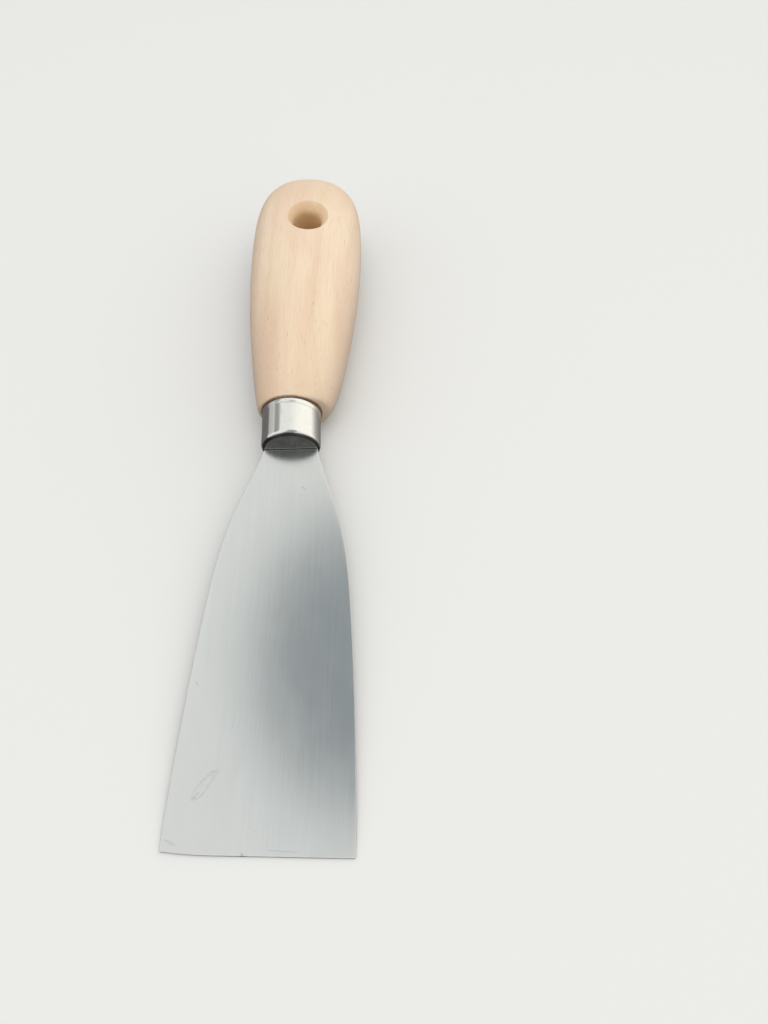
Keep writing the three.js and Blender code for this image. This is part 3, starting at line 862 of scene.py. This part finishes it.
def stage():
    s = 6.0
    square = [(-s, -s), (s, -s), (s, s), (-s, s)]

    def level(z):
        return [(x, y, z) for x, y in square]

    sheet("floor", level(0), plain("floor_pale", (0.80, 0.795, 0.785), 0.85), camera=True, diffuse=False, glossy=False, shadow=False)
    # a pale wall all round closes the room behind it
    m, reach, high, base = 96, 5.9, 6.0, []
    base = [(reach * math.cos(2 * math.pi * i / m), reach * math.sin(2 * math.pi * i / m)) for i in range(m)]
    me = bpy.data.meshes.new("wall")
    me.from_pydata([(x, y, 0.0) for x, y in base] + [(x, y, high) for x, y in base], [], [(i, (i + 1) % m, (i + 1) % m + m, i + m) for i in range(m)])
    me.materials.append(glow("wall_pale", (0.70, 0.70, 0.69)))
    wall = bpy.data.objects.new("wall", me)
    bpy.context.scene.collection.objects.link(wall)
    wall.visible_diffuse = wall.visible_glossy = wall.visible_transmission = wall.visible_volume_scatter = wall.visible_shadow = False
    # what lights the knife from below is a darker bench, and so is what it reflects
    sheet("bench_for_light", level(-0.0004), plain("bench_dark", (0.15, 0.16, 0.18)), diffuse=True, glossy=False)

    def bench_tone(g, at):
        x, y, _ = g.split(at)
        side = g.ramp(g.span(x, -0.02, 0.10, smooth=False), [(0.0, (0.150, 0.138, 0.142)), (0.25, (0.18, 0.175, 0.165)), (0.45, (0.40, 0.39, 0.36)),
                                                (0.7, (0.62, 0.61, 0.57)), (1.0, (0.80, 0.79, 0.75))])
        return g.mix(g.span(y, -0.02, -0.07, 0.0, 0.8), side, (0.03, 0.03, 0.03))

    sheet("bench_for_gloss", level(-0.0002), glow("bench_gloss", bench_tone))
    # a soft grey shape over the blade's right half
    oval_card("card_over_blade", (24, 93), (61, 75), 170, 2.2, 0.68, 1.20, (0.306, 0.340, 0.360))

    world = bpy.data.worlds.new("studio")
    bpy.context.scene.world = world
    world.use_nodes = True
    g = Graph(world.node_tree)
    out, bg = g.tree.nodes.new("ShaderNodeOutputWorld"), g.tree.nodes.new("ShaderNodeBackground")
    g.link(bg.outputs[0], out.inputs[0])
    d = g.tree.nodes.new("ShaderNodeTexCoord").outputs["Generated"]

    def lobe(az, el, wide, narrow):
        """0 further than wide degrees from a heading, 1 within narrow degrees of it."""
        near = g.vec("DOT_PRODUCT", d, tuple(heading(az, el)))
        return g.span(near, math.cos(math.radians(wide)), math.cos(math.radians(narrow)))

    tone = g.maths("ADD", 0.885, g.maths("MULTIPLY", lobe(50, 22, 62, 12), 0.22))
    tone = g.maths("SUBTRACT", tone, g.maths("MULTIPLY", lobe(-60, -2, 34, 12), 0.36))
    # a narrow, darker upright shape beyond the knife's left shoulder
    across = (heading(-54, 42) - heading(-58, 24)).normalized()
    middle = heading(-56, 33.5)
    band = g.maths("ABSOLUTE", g.maths("SUBTRACT", g.vec("DOT_PRODUCT", d, tuple(across)), middle.dot(across)))
    band = g.maths("MULTIPLY", g.span(band, math.sin(math.radians(12.0)), math.sin(math.radians(6.0))), lobe(-56, 33.5, 17, 9))
    tone = g.maths("SUBTRACT", tone, g.maths("MULTIPLY", band, 0.56))
    # the dark side of the room, met by the ferrule's end face
    shade = g.maths("MAXIMUM", lobe(-174, 55, 24, 14), lobe(-176, 24, 30, 18))
    tone = g.maths("MULTIPLY", tone, g.maths("SUBTRACT", 1.0, g.maths("MULTIPLY", shade, 0.62)))
    tone = g.maths("MAXIMUM", tone, 0.05)
    colour = g.mix(lobe(50, 22, 75, 15), (0.985, 1.0, 0.99), (1.0, 0.99, 0.93))
    g.link(g.vec("SCALE", colour, scale=tone), bg.inputs["Color"])
    bg.inputs["Strength"].default_value = 1.0

    def area(name, at, look, size, watts, colour, glossy=True):
        l = bpy.data.lights.new(name, "AREA")
        l.shape, l.size, l.size_y = "RECTANGLE", size[0], size[1]
        l.energy, l.color = watts, colour
        o = bpy.data.objects.new(name, l)
        bpy.context.scene.collection.objects.link(o)
        o.location = at
        o.rotation_mode = "QUATERNION"
        o.rotation_quaternion = (Vector(look) - Vector(at)).to_track_quat("-Z", "Y")
        o.visible_camera = False
        o.visible_glossy = glossy
        return o

    area("window", (0.12, -0.15, 1.25), (0, 0.0, 0), (1.0, 1.0), 4.35, (1.0, 1.0, 1.0), glossy=False)


def camera():
    """Over the tip of the blade, a hand's breadth to the right, looking down towards the butt."""
    eps, psi, rho = math.radians(63.304), math.radians(0.490), math.radians(-1.724)
    fwd = Vector((math.sin(psi) * math.cos(eps), math.cos(psi) * math.cos(eps), -math.sin(eps)))
    right = Vector((math.cos(psi), -math.sin(psi), 0))
    down = fwd.cross(right)
    r2 = math.cos(rho) * right + math.sin(rho) * down
    d2 = -math.sin(rho) * right + math.cos(rho) * down
    turn = TO_ROW.to_3x3()
    r2, up, back = turn @ r2, turn @ -d2, turn @ -fwd
    cam = bpy.data.cameras.new("camera")
    cam.sensor_width, cam.lens = 36.0, 769.0 * 36.0 / 1024.0
    cam.clip_start, cam.clip_end = 0.005, 50.0
    ob = bpy.data.objects.new("camera", cam)
    bpy.context.scene.collection.objects.link(ob)
    m = Matrix.Identity(4)
    for i in range(3):
        m[i][0], m[i][1], m[i][2] = r2[i], up[i], back[i]
    m.translation = row(23.478, -7.076, 170.631)
    ob.matrix_world = m
    bpy.context.scene.camera = ob
    return ob


blade()
ferrule()
handle()
stage()
camera()

scene = bpy.context.scene
scene.view_settings.view_transform = "Standard"
scene.view_settings.look = "None"
scene.view_settings.exposure = 0.0
scene.view_settings.gamma = 1.0
